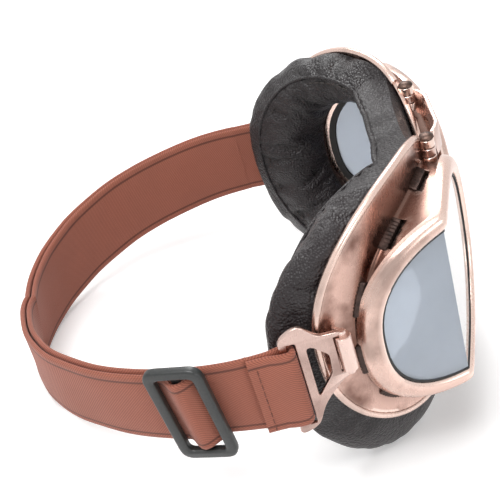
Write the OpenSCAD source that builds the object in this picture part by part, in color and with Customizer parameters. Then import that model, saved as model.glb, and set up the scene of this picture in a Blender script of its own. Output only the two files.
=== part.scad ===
/* [Pose] */
// Turn of each eye cup about its bridge hinge, from the frontal plane
cup_yaw = 37; // [28:1:44]
// Lean of the goggles towards the strap as they stand
lean = 13; // [9:1:16]
// Height of the hinge line's foot above the table
stand_h = 53.6; // [52:0.1:60]

/* [Lens opening] */
// Width of the opening from the fold to the temple end
side_w = 18.7; // [17:0.1:20]
// Width of the opening from the fold to the nose end
front_w = 33.5; // [31:0.1:35]
// Height of the opening above its middle
lens_up = 22.7; // [20:0.1:24]
// Height of the opening below its middle
lens_down = 23.9; // [21:0.1:26]
// Distance from the hinge to the fold between the two panes
fold_u = 26.4; // [25:0.1:28]
// Distance of the fold in front of the hinge line
fold_w = 15.6; // [14.4:0.1:17]
// Angle of the front pane to the cup's plane
front_slope = 22; // [18:1:25]
// Angle of the side pane to the cup's plane
side_slope = 32; // [29:1:34]
// Fall of the opening towards the temple, per unit of width
lens_fall = 0.14; // [0.08:0.01:0.18]
// Thickness of a pane
pane_t = 2; // [1.6:0.1:2.4]

/* [Frame] */
// Thickness of the pressed sheet
sheet_t = 1.2; // [0.9:0.1:1.5]
// Reach of the flange from the lens middle to the temple
flange_out = 38.2; // [37:0.1:40]
// Reach of the flange from the lens middle to the nose
flange_in = 32; // [31.4:0.1:32.6]
// Height of the flange above the middle
flange_up = 35.9; // [34:0.1:38]
// Height of the flange below the middle
flange_down = 37.8; // [36:0.1:40]
// Radius of the flange's bend round the temple
flange_r = 57; // [54:1:62]
// Radius of the flange's bend towards the nose
nose_r = 75; // [70:1:90]
// Gap between the opening's edge and the inside of the box wall
box_gap = 2.2; // [1.8:0.1:2.6]
// Width of the lens rim
rim_w = 4.2; // [3.4:0.1:4.8]
// Diameter of the binding round the flange's edge
binding_d = 2.4; // [2:0.1:2.8]
// Length of a vent slot
vent_l = 9; // [6:0.5:11]
// Height of a vent slot
vent_h = 2.6; // [1.6:0.1:3]

/* [Bridge] */
// Half of the distance between the two hinge pins
hinge_x = 16.8; // [16:0.1:18]
// Height of the hinge's middle above the cup's middle
hinge_v = 27; // [26.6:0.1:28]
// Diameter of a hinge pin
pin_d = 2; // [1.6:0.1:2.2]
// Running gap round each pin and bar
run_gap = 0.08; // [0.05:0.01:0.1]
// Wall of a rolled hinge barrel
barrel_wall = 1; // [0.8:0.1:1.1]
// Height of the bridge plate
bridge_h = 8; // [7:0.5:9]
// Rise of the bridge plate in front of the pins
bridge_rise = 5; // [4:0.5:7]

/* [Cushion] */
// Depth of the cushion behind the flange
cushion_d = 13; // [11:0.5:15]
// Reach of the cushion past the flange at the temple
cushion_out = 6; // [4:0.5:7]
// Reach of the cushion below the flange
cushion_low = 10; // [8:0.5:10]
// Number of gathers round a cushion
gathers = 16; // [0:1:24]
// Depth of a gather
gather_d = 0.5; // [0:0.1:0.8]

/* [Strap] */
// Width of the webbing
strap_w = 25; // [22:0.5:26]
// Thickness of the webbing
strap_t = 1.6; // [1.2:0.1:1.7]
// Depth of the loop behind the sewn folds
loop_l = 69.5; // [66:0.5:90]
// Outward lean of the strap's top edge halfway along each side
flare = 12; // [0:1:16]
// Length of the sewn fold behind the strap bar
fold_l = 8.6; // [7:0.2:10]

/* [Hook plates] */
// Thickness of a hook plate
plate_t = 1.4; // [1.1:0.1:1.7]
// Turn of a hook plate outwards from straight back
plate_turn = 4; // [0:1:8]
// Distance from the hinge bar to the front edge of the strap slot
slot_s = 12.1; // [12:0.1:13]
// Width of the strap bar
strap_bar_w = 2.2; // [2:0.1:2.6]
// Diameter of the hinge bar
bar_d = 2.2; // [1.8:0.1:2.4]
// Length of the rolled tab round the hinge bar
tab_h = 11; // [9:0.5:12]

/* [Slider] */
// Width of the slider along the strap
slider_w = 16.8; // [15:0.2:19]
// Thickness of the slider
slider_t = 2.6; // [2.2:0.1:3]
// Width of each of the slider's outer bars
slider_bar = 3; // [2.6:0.1:3.4]
// Width of the slider's middle bar
middle_bar = 2.4; // [2:0.1:2.6]
// Distance of the slider's middle behind the sewn fold
slider_at = 16.4; // [15:0.2:22]

/* [Hidden] */

// Points round an outline, and facets round a bore or pin
steps = 64;
bore_fn = 48;

// Smooth closed outline: half widths out and in, heights up and down, corner power
function lobe(t, out, inn, up, down, power) = let (
    c = cos(t), s = sin(t),
    r = pow(pow(abs(c), power) + pow(abs(s), power), -1 / power)
  ) [(c > 0 ? out : inn) * r * c, (s > 0 ? up : down) * r * s];

// Middle of the lens opening in the cup: u outwards from the hinge, v up
lens_c = [20.6, -0.5];
lens_power = 2.43;
lens_out = fold_u + side_w - lens_c.x;
lens_in = front_w - fold_u + lens_c.x;
function lens_pt(t, grow = 0) = let (
    p = lobe(t, lens_out + grow, lens_in + grow, lens_up + grow, lens_down + grow, lens_power)
  ) lens_c + [p.x, p.y - lens_fall * p.x];
function lens_outline(grow = 0) = [for (i = [0:steps - 1]) lens_pt(i * 360 / steps, grow)];

flange_c = [20.7, 0.4];
flange_power = 2.28;
function flange_pt(t, grow = 0) = flange_c
  + lobe(t, flange_out + grow, flange_in + grow, flange_up + grow, flange_down + grow, flange_power);
function flange_outline(grow = 0) = [for (i = [0:steps - 1]) flange_pt(i * 360 / steps, grow)];

// Front surface of the bent flange, whose crest runs upright, and of the folded panes
crest_u = 28.3;
crest_w = 3.6;
function flange_z(u) = let (r = u > crest_u ? flange_r : nose_r)
  crest_w + sqrt(r * r - pow(u - crest_u, 2)) - r;
function pane_z(u) =
  fold_w - (u < fold_u ? (fold_u - u) * tan(front_slope) : (u - fold_u) * tan(side_slope));

// The panes sit on a lip behind them, between strips of gasket, under the rim
lip_t = 1.2;
lip_in = 1.2;
gasket_t = 0.6;
pane_proud = 0.8;
rim_proud = 1.8;
rim_out = gasket_t + rim_w;
wall_out = box_gap + sheet_t;
seat_z = pane_proud - pane_t;
lip_top = seat_z - gasket_t;
seat_gap = 0.05;

// Depths and widths that clear the whole cup
below = -45;
above = 30;
span = 140;
past = 1;

// Prism of an outline through the whole cup
module prism(points, low = below, high = above)
  translate([0, 0, low]) linear_extrude(high - low) polygon(points);
module ring_prism(outer, inner) difference() {
  prism(outer);
  prism(inner, below - past, above + past);
}
// Folded slab that follows the two panes, between two heights over their front
slab_in = -25;
slab_out = 90;
module fold_slab(low, high) rotate([90, 0, 0]) translate([0, 0, -span / 2])
  linear_extrude(span) polygon([
    [slab_in, pane_z(slab_in) + low], [fold_u, fold_w + low], [slab_out, pane_z(slab_out) + low],
    [slab_out, pane_z(slab_out) + high], [fold_u, fold_w + high], [slab_in, pane_z(slab_in) + high]
  ]);
// All that lies behind the flange's surface, set back or forward by grow
module bend(grow = 0) for (side = [0, 1]) {
  r = side > 0 ? flange_r : nose_r;
  translate([crest_u, 0, crest_w - r]) intersection() {
    rotate([90, 0, 0]) cylinder(r = r + grow, h = span, center = true, $fn = 180);
    translate([(side - 1) * span, -span, -span]) cube([span, 2 * span, 2 * span]);
  }
}
// Turns an upright cylinder so that it stands along the cup's v
module upright() rotate([-90, 0, 0]) children();

hinge_r = pin_d / 2 + run_gap + barrel_wall;
knuckle_h = bridge_h / 3;
knuckle_gap = 0.3;
pin_head_r = 2.2;
pin_head_h = 1.2;
leaf_w = 3.4;
leaf_u = 0.4;
knuckle_room = 0.35;

// Place and radius of the rolled tab at the temple
tab_in = 2.4;
tab_at = [flange_c.x + flange_out - tab_in, 2.3, 0.8];
tab_r = bar_d / 2 + run_gap + barrel_wall;

vent_angles = [104, 66, 32, -4, -42, -80];
vent_rise = 0.4;
vent_cut = 6;
module vents() for (a = vent_angles) {
  p = lens_pt(a, box_gap + sheet_t / 2);
  q = lens_pt(a + 1, box_gap + sheet_t / 2);
  translate([p.x, p.y, flange_z(p.x) + vent_rise + vent_h / 2])
    rotate([0, 0, atan2(q.y - p.y, q.x - p.x)])
    cube([vent_l, vent_cut, vent_h], center = true);
}

// Bent flange and the box wall that rises from it to the panes, with a lip inside
module frame_shell() color("#b87a63") difference() {
  union() {
    difference() {
      union() {
        intersection() {
          prism(flange_outline());
          bend();
        }
        intersection() {
          prism(lens_outline(wall_out));
          fold_slab(below, lip_top);
        }
      }
      bend(-sheet_t);
      difference() {
        prism(lens_outline(box_gap));
        fold_slab(lip_top - lip_t, above);
      }
      prism(lens_outline(-lip_in));
      intersection() {
        prism(lens_outline(rim_out + seat_gap));
        fold_slab(lip_top, above);
      }
    }
    hinge_lugs();
    temple_tab();
  }
  vents();
  translate([0, hinge_v, 0]) upright()
    cylinder(r = hinge_r + knuckle_room, h = knuckle_h + knuckle_gap, center = true, $fn = bore_fn);
  translate([0, hinge_v, 0]) upright()
    cylinder(r = pin_d / 2 + run_gap, h = bridge_h + 2 * past, center = true, $fn = bore_fn);
}
// Two knuckles, one above and one below the bridge plate's own
module hinge_lugs() difference() {
  for (s = [-1, 1]) translate([0, hinge_v + s * knuckle_h, 0]) rotate([90, 0, 0])
    linear_extrude(knuckle_h - knuckle_gap, center = true) {
      circle(r = hinge_r, $fn = bore_fn);
      polygon([[leaf_u, 0], [leaf_u, flange_z(leaf_u) - sheet_t / 2],
        [leaf_w, flange_z(leaf_w) - sheet_t / 2], [leaf_w, 0]]);
    }
  prism(lens_outline(box_gap));
}
// Rolled tab that carries the hook plate
tab_leaf = 1.2;
tab_foot = 0.4;
module temple_tab() translate(tab_at) difference() {
  union() {
    upright() cylinder(r = tab_r, h = tab_h, center = true, $fn = bore_fn);
    translate([-tab_r, -tab_h / 2, flange_z(tab_at.x) - tab_at.z - tab_foot])
      cube([tab_leaf, tab_h, tab_at.z - flange_z(tab_at.x) + tab_foot]);
  }
  upright() cylinder(r = bar_d / 2 + run_gap, h = tab_h + past, center = true, $fn = bore_fn);
}

module lens_rim() color("#c98d74") intersection() {
  ring_prism(lens_outline(rim_out), lens_outline(gasket_t));
  fold_slab(lip_top, rim_proud);
}
module front_pane() color("#8f9dac") intersection() {
  prism(lens_outline());
  fold_slab(seat_z, pane_proud);
  translate([fold_u - span, -span / 2, below]) cube([span, span, span]);
}
module side_pane() color("#8f9dac") intersection() {
  prism(lens_outline());
  fold_slab(seat_z, pane_proud);
  translate([fold_u, -span / 2, below]) cube([span, span, span]);
}
// Black strip round the panes and under their edge
gasket_proud = 0.3;
module gasket() color("#1c1a19") union() {
  intersection() {
    ring_prism(lens_outline(gasket_t), lens_outline());
    fold_slab(seat_z, pane_proud + gasket_proud);
  }
  intersection() {
    ring_prism(lens_outline(gasket_t), lens_outline(-lip_in));
    fold_slab(lip_top, seat_z);
  }
}
// Ribbed mesh that lines the box behind the vent slots
mesh_t = 0.8;
mesh_gap = 0.1;
module vent_mesh() color("#2a2220") difference() {
  intersection() {
    ring_prism(lens_outline(box_gap - mesh_gap), lens_outline(box_gap - mesh_gap - mesh_t));
    fold_slab(below, lip_top - lip_t - mesh_gap);
  }
  bend(-sheet_t);
}
binding_rise = 0.6;
module binding() color("#d9a488") difference() {
  intersection() {
    ring_prism(flange_outline(binding_d / 2), flange_outline());
    difference() {
      bend(binding_rise);
      bend(binding_rise - binding_d);
    }
  }
  translate([0, hinge_v, 0]) upright()
    cylinder(r = pin_head_r + knuckle_room, h = bridge_h + 4 * pin_head_h, center = true, $fn = bore_fn);
}

// Cushion: a closed ring between the opening's edge, the flange's edge and an outer swell
edge_in = 0.8;
swell_c = [33.9, -1.3];
swell_in = 38.6;
swell_up = 37.1;
function swell_pt(t) = swell_c + lobe(t, flange_c.x + flange_out + cushion_out - swell_c.x, swell_in,
  swell_up, flange_down - flange_c.y + cushion_low - swell_c.y - edge_in, 2);
// The back of the ring is thinner towards the nose
nose_share = 0.62;
nose_run = 40;
bend_end = 62;
function back_z(u) = flange_z(min(u, bend_end)) - sheet_t
  - cushion_d * (nose_share + (1 - nose_share) * min(1, max(0, u) / nose_run));
// Rows of the cover: share from opening to flange edge, share of the swell, share of the depth
cover_rows = [[1, 0, 0], [1, 0.7, 0.22], [1, 1, 0.5], [0.94, 0.9, 0.78], [0.76, 0.55, 0.96],
  [0.52, 0.25, 1], [0.28, 0.05, 0.88], [0.1, 0, 0.6], [0.02, 0, 0.3], [0, 0, 0]];
lining_rows = [[0.14, 0, 0], [0.2, 0, 0.5], [0.36, 0.06, 0.78], [0.54, 0.25, 0.87],
  [0.72, 0.48, 0.82], [0.84, 0.72, 0.6], [0.88, 0.74, 0.34], [0.9, 0.3, 0]];
cushion_gap = 0.3;
opening_gap = 0.4;
nose_cover = 7;
function cushion_pt(t, row, ripple) = let (
    f = flange_pt(t, -edge_in), b = swell_pt(t),
    o = lens_pt(t, opening_gap) + [nose_cover * pow(max(0, -cos(t)), 1.5), 0],
    p = o + (f - o) * row[0] + (b - f) * row[1],
    front = flange_z(p.x) - sheet_t - cushion_gap,
    back = back_z(p.x) + ripple * gather_d * cos(gathers * t)
  ) [p.x, p.y, front + (back - front) * row[2]];
function section_grid(rows, n, ripple) =
  [for (i = [0:n - 1]) for (j = [0:len(rows) - 1]) cushion_pt(i * 360 / n, rows[j], ripple * rows[j][2])];
function loop_faces(n, m) = [for (i = [0:n - 1]) for (j = [0:m - 1]) let (
    a = i * m + j, b = i * m + (j + 1) % m, c = ((i + 1) % n) * m + (j + 1) % m, d = ((i + 1) % n) * m + j
  ) each [[c, b, a], [d, c, a]]];
module closed_ring(rows, n, ripple)
  polyhedron(section_grid(rows, n, ripple), loop_faces(n, len(rows)));
module cushion() color("#3b3534") closed_ring(concat(cover_rows, lining_rows), steps, 1);
// The foam fills the lining, drawn in a little from the leather
foam_mid = 0.53;
foam_in = 0.2;
foam_rows = [for (r = lining_rows)
  [r[0] + (foam_mid - r[0]) * foam_in, r[1] * (1 - foam_in), foam_in / 4 + r[2] * (1 - foam_in)]];
module foam() color("#d8cfae") closed_ring(foam_rows, steps, 0);

// Places of a cup and of a hook plate in the standing part
origin_y = 58.7;
function lean_pt(p) = [
    p.x, p.y * cos(lean) + p.z * sin(lean) - origin_y, stand_h - p.y * sin(lean) + p.z * cos(lean)
  ];
module stand() translate([0, -origin_y, stand_h]) rotate([-lean, 0, 0]) children();
module left_cup() stand() translate([hinge_x, 0, 0]) rotate([90, 0, cup_yaw]) children();
module right_cup() mirror([1, 0, 0]) left_cup() children();

// Hook plate: s runs back from the hinge bar to the strap, h up along the bar
tab_x = hinge_x + tab_at.x * cos(cup_yaw) + tab_at.z * sin(cup_yaw);
tab_y = tab_at.x * sin(cup_yaw) - tab_at.z * cos(cup_yaw);
module left_plate() stand() translate([tab_x, tab_y, tab_at.y]) rotate([90, 0, 90 - plate_turn]) children();
module right_plate() mirror([1, 0, 0]) left_plate() children();
function plate_pt(s, h) =
  lean_pt([tab_x + s * sin(plate_turn), tab_y + s * cos(plate_turn), tab_at.y + h]);

// Strap bar, with the webbing centred on it, and the slot in front of it
turn_gap = 0.2;
slot_w = strap_t + 3 * turn_gap;
bar_s = slot_s + slot_w;
bar_mid = -6.7;
bar_half = strap_w / 2 + 1.2;
arm_w = 2.2;
tail_s = bar_s + strap_bar_w;
notch_h = tab_h / 2 + 0.3;
bar_reach = notch_h + 1.2;
bar_top = bar_mid + bar_half;
bar_foot = bar_mid - bar_half;
plate_outline = [
  [0, bar_reach], [3, 7.3], [5.8, 7.3], [8, 9.4], [9.8, 11.8], [12.2, 11.6],
  [tail_s - 1, bar_top + 2.6], [tail_s, bar_top + 0.6],
  [tail_s, bar_foot], [tail_s + 0.9, bar_foot - 1.6], [tail_s - 0.3, bar_foot - 2.9],
  [11.5, -21.4], [8.9, -15.4], [5.6, -11.3], [1.6, -bar_reach - 0.6], [0, -bar_reach]
];
plate_window = [[slot_s - 2.4, 4.4], [8.3, 4.6], [4.4, 0.9], [4.8, -5.3], [slot_s - 2.4, -12]];
module hook_plate() color("#c08a72") {
  translate([0, 0, -plate_t / 2]) linear_extrude(plate_t) difference() {
    polygon(plate_outline);
    polygon(plate_window);
    translate([slot_s, bar_foot]) square([slot_w, 2 * bar_half]);
    translate([-tab_r * 2, -notch_h]) square([tab_r * 3 + turn_gap, 2 * notch_h]);
  }
  rotate([-90, 0, 0]) cylinder(r = bar_d / 2, h = 2 * bar_reach, center = true, $fn = bore_fn);
}
// Webbing turned round the strap bar and sewn to itself
fold_end = tail_s + fold_l;
turn_lead = 0.5;
turn_s = bar_s + turn_lead;
turn_in = plate_t / 2 + turn_gap;
turn_out = turn_in + strap_t;
sewn_s = tail_s + 3;
sewn_z = strap_t + 0.05;
turn_step = 15;
function turn_arc(r) = [for (a = [90:turn_step:270]) [turn_s + r * cos(a), r * sin(a)]];
module strap_fold() color("#7a4433") translate([0, bar_mid + strap_w / 2, 0]) rotate([90, 0, 0])
  linear_extrude(strap_w) difference() {
    polygon(concat([[tail_s, -turn_out], [sewn_s, -sewn_z], [fold_end, -sewn_z], [fold_end, sewn_z],
      [sewn_s, sewn_z], [tail_s, turn_out]], turn_arc(turn_out)));
    polygon(concat([[tail_s + turn_gap, -turn_in], [sewn_s, 0], [tail_s + turn_gap, turn_in]],
      turn_arc(turn_in)));
  }

// Strap: one route behind the head, from sewn fold to sewn fold, that falls to the table
route_start = plate_pt(fold_end, bar_mid);
rear_z = strap_w / 2;
first_fall = 0.23;
last_fall = route_start.z - rear_z - first_fall * loop_l;
far_power = 2.2;
near_power = 1.8;
function route(t) = let (
    k = t < 90 ? far_power : near_power,
    x = route_start.x * sign(cos(t)) * pow(abs(cos(t)), 2 / k),
    y = pow(max(0, sin(t)), 2 / k) * loop_l
  ) [x, route_start.y + y, route_start.z - first_fall * y - last_fall * pow(y / loop_l, 2)];
function unit(v) = v / norm(v);
function tangent(t) = unit(route(min(t + 1.5, 180)) - route(max(t - 1.5, 0)));
// Across the strap and away from the head, with the top edge flared outwards
function flare_at(t) = flare * pow(abs(sin(2 * t)), 0.7);
function level(t) = let (g = tangent(t)) unit([0, 0, 1] - g.z * g);
function wide(t) = let (v = level(t)) v * cos(flare_at(t)) + cross(tangent(t), v) * sin(flare_at(t));
function away(t) = cross(tangent(t), wide(t));
// Turn of the route at a distance behind the near fold, and behind the far one
function near_turn(y) = 180 - asin(pow(max(0, y) / loop_l, near_power / 2));
function far_turn(y) = asin(pow(max(0, y) / loop_l, far_power / 2));
function band_ring(t, off) = let (
    c = route(t) + away(t) * off, w = wide(t) * strap_w / 2, n = away(t) * strap_t / 2
  ) [c - w - n, c + w - n, c + w + n, c - w + n];
function band_faces(n) = concat([[0, 1, 2, 3]], [[4 * n - 1, 4 * n - 2, 4 * n - 3, 4 * n - 4]],
  [for (i = [0:n - 2]) for (j = [0:3]) let (a = 4 * i + j, b = 4 * i + (j + 1) % 4)
    each [[b + 4, b, a], [a + 4, b + 4, a]]]);
// Band over a list of [turn, distance off the route]
module band(path)
  polyhedron([for (p = path) each band_ring(p[0], p[1])], band_faces(len(path)));

ply = strap_t / 2 + 0.2;
band_steps = 56;
slider_turn = near_turn(slider_at);
bulge_l = slider_w / 2 - slider_bar - 0.2;
bulge_rise = 3.6;
tuck = 2;
web_end = bulge_l + tuck;
// Gap between the ends of two stretches of webbing, and length of the one that goes with the far hook
seam_gap = 0.3;
far_l = 22;
layer_start = far_turn(far_l + seam_gap);
function bulge(s) = ply + (abs(s) < bulge_l ? bulge_rise * (1 + cos(180 * s / bulge_l)) / 2 : 0);
module strap_outer() color("#7a4433") let (last = near_turn(slider_at + web_end + seam_gap))
  band([for (i = [0:band_steps]) [layer_start + (last - layer_start) * i / band_steps, ply]]);
module strap_inner() color("#8a5140") let (last = near_turn(slider_at + tuck))
  band([for (i = [0:band_steps]) [layer_start + (last - layer_start) * i / band_steps, -ply]]);
front_steps = 12;
module strap_far() color("#7a4433") for (off = [ply, -ply])
  band([for (i = [0:front_steps]) [far_turn(seam_gap + (far_l - seam_gap) * i / front_steps), off]]);
module strap_front() color("#7a4433") let (first = slider_at + tuck - seam_gap)
  band([for (i = [0:front_steps]) [near_turn(first + (seam_gap - first) * i / front_steps), -ply]]);
web_steps = 24;
module slider_webbing() color("#7a4433")
  band([for (i = [0:web_steps]) let (s = web_end * (1 - 2 * i / web_steps))
    [near_turn(slider_at + s), bulge(s)]]);

// Puts a piece on the strap: its x along the strap, y across it, z away from the head
module on_strap(t) {
  g = tangent(t);
  w = wide(t);
  a = away(t);
  translate(route(t)) rotate([atan2(w.z, a.z), asin(-g.z), atan2(g.y, g.x)]) children();
}
slider_gap = 1.25;
slider_h = strap_w + 2 * slider_gap + 2 * slider_bar;
slider_low = ply + strap_t / 2 + 0.2;
slider_r = 4;
slider_in_r = 1.5;
middle_t = 1.3;
module rounded(w, h, r) {
  square([w - 2 * r, h], center = true);
  square([w, h - 2 * r], center = true);
  for (x = [-1, 1]) for (y = [-1, 1]) translate([x * (w / 2 - r), y * (h / 2 - r)]) circle(r = r, $fn = 32);
}
module slider() color("#3c4140") on_strap(slider_turn) translate([0, 0, slider_low]) {
  linear_extrude(slider_t) difference() {
    rounded(slider_w, slider_h, slider_r);
    rounded(slider_w - 2 * slider_bar, slider_h - 2 * slider_bar, slider_in_r);
  }
  linear_extrude(middle_t) square([middle_bar, slider_h - slider_bar], center = true);
}

// Bridge: sheet arched over the nose, rolled round a pin at each end
leaf_y = hinge_r - 0.05;
module bridge_plate() color("#b87a63") stand() translate([0, 0, hinge_v]) difference() {
  union() {
    difference() {
      linear_extrude(bridge_h, center = true) polygon([
        [-hinge_x, -leaf_y], [-hinge_x / 2, -bridge_rise], [hinge_x / 2, -bridge_rise], [hinge_x, -leaf_y],
        [hinge_x, sheet_t - leaf_y], [hinge_x / 2, sheet_t - bridge_rise],
        [-hinge_x / 2, sheet_t - bridge_rise], [-hinge_x, sheet_t - leaf_y]
      ]);
      for (s = [-1, 1]) for (k = [-1, 1]) translate([s * hinge_x, 0, k * knuckle_h])
        cube([4 * hinge_r, 4 * hinge_r, knuckle_h + 0.01], center = true);
    }
    for (s = [-1, 1]) translate([s * hinge_x, 0, 0])
      cylinder(r = hinge_r, h = knuckle_h - knuckle_gap, center = true, $fn = bore_fn);
  }
  for (s = [-1, 1]) translate([s * hinge_x, 0, 0])
    cylinder(r = pin_d / 2 + run_gap, h = bridge_h, center = true, $fn = bore_fn);
}
module bridge_pins() color("#4a3a34") stand() for (s = [-1, 1]) translate([s * hinge_x, 0, hinge_v]) {
  cylinder(r = pin_d / 2, h = bridge_h + 2 * turn_gap, center = true, $fn = bore_fn);
  translate([0, 0, bridge_h / 2 + turn_gap])
    cylinder(r1 = pin_head_r, r2 = pin_head_r / 2, h = pin_head_h, $fn = bore_fn);
}
// Web of leather between the nose edges of the two cushions
nose_h = 34;
nose_mid = 8;
nose_dip = 1.4;
nose_swell = 2;
nose_d = 7;
// Bevel of its front edges, clear of the bindings
nose_cut = 1.4;
nose_u = flange_c.x - flange_in + edge_in;
nose_w = flange_z(nose_u) - sheet_t - cushion_gap;
nose_x = hinge_x + nose_u * cos(cup_yaw) + nose_w * sin(cup_yaw) - cushion_gap;
nose_y = nose_u * sin(cup_yaw) - nose_w * cos(cup_yaw);
nose_side = nose_x + nose_cut * 2 * nose_swell / nose_d;
nose_fall = nose_cut * nose_dip / nose_x;
module nose_leather() color("#3b3534") stand() translate([0, nose_y, nose_mid])
  linear_extrude(nose_h, center = true) polygon([
    [nose_cut - nose_x, nose_fall], [0, nose_dip], [nose_x - nose_cut, nose_fall], [nose_side, nose_cut],
    [nose_x + nose_swell, nose_d / 2], [nose_x + nose_swell, nose_d], [0, nose_d + nose_dip],
    [-nose_x - nose_swell, nose_d], [-nose_x - nose_swell, nose_d / 2], [-nose_side, nose_cut]
  ]);

bridge_plate();
bridge_pins();
nose_leather();
left_cup() frame_shell();  // left_frame
left_cup() lens_rim();  // left_rim
left_cup() front_pane();  // left_front_pane
left_cup() side_pane();  // left_side_pane
left_cup() gasket();  // left_gasket
left_cup() vent_mesh();  // left_vent_mesh
left_cup() binding();  // left_binding
left_cup() cushion();  // left_cushion
left_cup() foam();  // left_foam
left_plate() hook_plate();  // left_hook_plate
left_plate() strap_fold();  // left_strap_fold
right_cup() frame_shell();  // right_frame
right_cup() lens_rim();  // right_rim
right_cup() front_pane();  // right_front_pane
right_cup() side_pane();  // right_side_pane
right_cup() gasket();  // right_gasket
right_cup() vent_mesh();  // right_vent_mesh
right_cup() binding();  // right_binding
right_cup() cushion();  // right_cushion
right_cup() foam();  // right_foam
right_plate() hook_plate();  // right_hook_plate
right_plate() strap_fold();  // right_strap_fold
strap_outer();
strap_inner();
strap_far();
strap_front();
slider();
slider_webbing();
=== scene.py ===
import bpy
import bmesh
import math
from functools import partial
from mathutils import Matrix, Vector, noise


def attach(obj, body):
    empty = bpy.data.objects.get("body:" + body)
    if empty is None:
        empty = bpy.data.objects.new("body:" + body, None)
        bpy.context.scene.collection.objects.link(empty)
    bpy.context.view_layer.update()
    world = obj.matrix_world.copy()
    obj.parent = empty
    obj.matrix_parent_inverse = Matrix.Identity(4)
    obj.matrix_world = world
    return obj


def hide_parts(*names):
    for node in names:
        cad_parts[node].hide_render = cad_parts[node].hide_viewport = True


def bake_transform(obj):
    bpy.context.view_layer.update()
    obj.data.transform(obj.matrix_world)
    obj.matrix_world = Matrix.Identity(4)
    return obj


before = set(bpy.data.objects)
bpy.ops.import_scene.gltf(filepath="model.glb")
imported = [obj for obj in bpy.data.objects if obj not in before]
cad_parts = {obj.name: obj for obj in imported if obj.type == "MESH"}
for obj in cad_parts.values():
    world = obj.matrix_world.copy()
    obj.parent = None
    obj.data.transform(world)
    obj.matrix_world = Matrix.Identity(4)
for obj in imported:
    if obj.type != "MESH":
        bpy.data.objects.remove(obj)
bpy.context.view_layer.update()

MM = 0.001
SIDES = {"left": 1, "right": -1}

# Driving sizes, in millimetres and degrees, as the part's own source has them
CUP_YAW = 37
LEAN = 13
STAND_H = 53.6
ORIGIN_Y = 58.7
SIDE_W = 18.7
FRONT_W = 33.5
LENS_UP = 22.7
LENS_DOWN = 23.9
FOLD_U = 26.4
FOLD_W = 15.6
FRONT_SLOPE = 22
SIDE_SLOPE = 32
LENS_FALL = 0.14
PANE_T = 2
SHEET_T = 1.2
FLANGE_OUT = 38.2
FLANGE_IN = 32
FLANGE_UP = 35.9
FLANGE_DOWN = 37.8
FLANGE_R = 57
NOSE_R = 75
BOX_GAP = 2.2
RIM_W = 4.2
BINDING_D = 2.4
VENT_L = 9
VENT_H = 2.6
VENT_RISE = 0.4
VENT_ANGLES = (104, 66, 32, -4, -42, -80)
HINGE_X = 16.8
HINGE_V = 27
PIN_D = 2
RUN_GAP = 0.08
BARREL_WALL = 1
BRIDGE_H = 8
BRIDGE_RISE = 5
PIN_HEAD_R = 2.2
CUSHION_D = 13
CUSHION_OUT = 6
CUSHION_LOW = 10
STRAP_W = 25
STRAP_T = 1.6
LOOP_L = 69.5
FLARE = 12
FOLD_L = 8.6
PLATE_T = 1.4
PLATE_TURN = 4
SLOT_S = 12.1
STRAP_BAR_W = 2.2
BAR_D = 2.2
TAB_H = 11
TAB_AT = (56.5, 2.3, 0.8)
SLIDER_W = 16.8
SLIDER_T = 2.6
SLIDER_BAR = 3
MIDDLE_BAR = 2.4
SLIDER_AT = 16.4

LENS_C = (20.6, -0.5)
LENS_POWER = 2.43
FLANGE_C = (20.7, 0.4)
FLANGE_POWER = 2.28
CREST_U = 28.3
CREST_W = 3.6
GASKET_T = 0.6
PANE_PROUD = 0.8
LIP_T = 1.2
RIM_OUT = GASKET_T + RIM_W
WALL_OUT = BOX_GAP + SHEET_T
SEAT_Z = PANE_PROUD - PANE_T
LIP_TOP = SEAT_Z - GASKET_T
HINGE_R = PIN_D / 2 + RUN_GAP + BARREL_WALL
KNUCKLE_H = BRIDGE_H / 3
KNUCKLE_GAP = 0.3
TAB_R = BAR_D / 2 + RUN_GAP + BARREL_WALL

AROUND = 192
ROUND = 32


def cosd(a):
    return math.cos(math.radians(a))


def sind(a):
    return math.sin(math.radians(a))


def tand(a):
    return math.tan(math.radians(a))


def lobe(t, out, inn, up, down, power):
    """Smooth closed outline: half widths out and in, heights up and down, corner power."""
    c, s = cosd(t), sind(t)
    r = (abs(c) ** power + abs(s) ** power) ** (-1 / power)
    return (out if c > 0 else inn) * r * c, (up if s > 0 else down) * r * s


def lens_pt(t, grow=0.0):
    out = FOLD_U + SIDE_W - LENS_C[0] + grow
    inn = FRONT_W - FOLD_U + LENS_C[0] + grow
    x, y = lobe(t, out, inn, LENS_UP + grow, LENS_DOWN + grow, LENS_POWER)
    return Vector((LENS_C[0] + x, LENS_C[1] + y - LENS_FALL * x))


def flange_pt(t, grow=0.0):
    x, y = lobe(t, FLANGE_OUT + grow, FLANGE_IN + grow, FLANGE_UP + grow, FLANGE_DOWN + grow, FLANGE_POWER)
    return Vector((FLANGE_C[0] + x, FLANGE_C[1] + y))


def flange_z(u):
    r = FLANGE_R if u > CREST_U else NOSE_R
    return CREST_W + math.sqrt(r * r - (u - CREST_U) ** 2) - r


FOLD_SOFT = 0.7


def pane_z(u):
    """Front of the folded panes, the fold slightly rounded."""
    d = u - FOLD_U
    soft = math.sqrt(d * d + FOLD_SOFT * FOLD_SOFT) - FOLD_SOFT
    rise = (tand(SIDE_SLOPE) + tand(FRONT_SLOPE)) / 2
    tilt = (tand(SIDE_SLOPE) - tand(FRONT_SLOPE)) / 2
    return FOLD_W - rise * soft - tilt * d


def stand(x, y, z):
    """Point of the goggles' own upright frame in the leaning, standing part."""
    return Vector((x, y * cosd(LEAN) + z * sind(LEAN) - ORIGIN_Y, STAND_H - y * sind(LEAN) + z * cosd(LEAN)))


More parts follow.
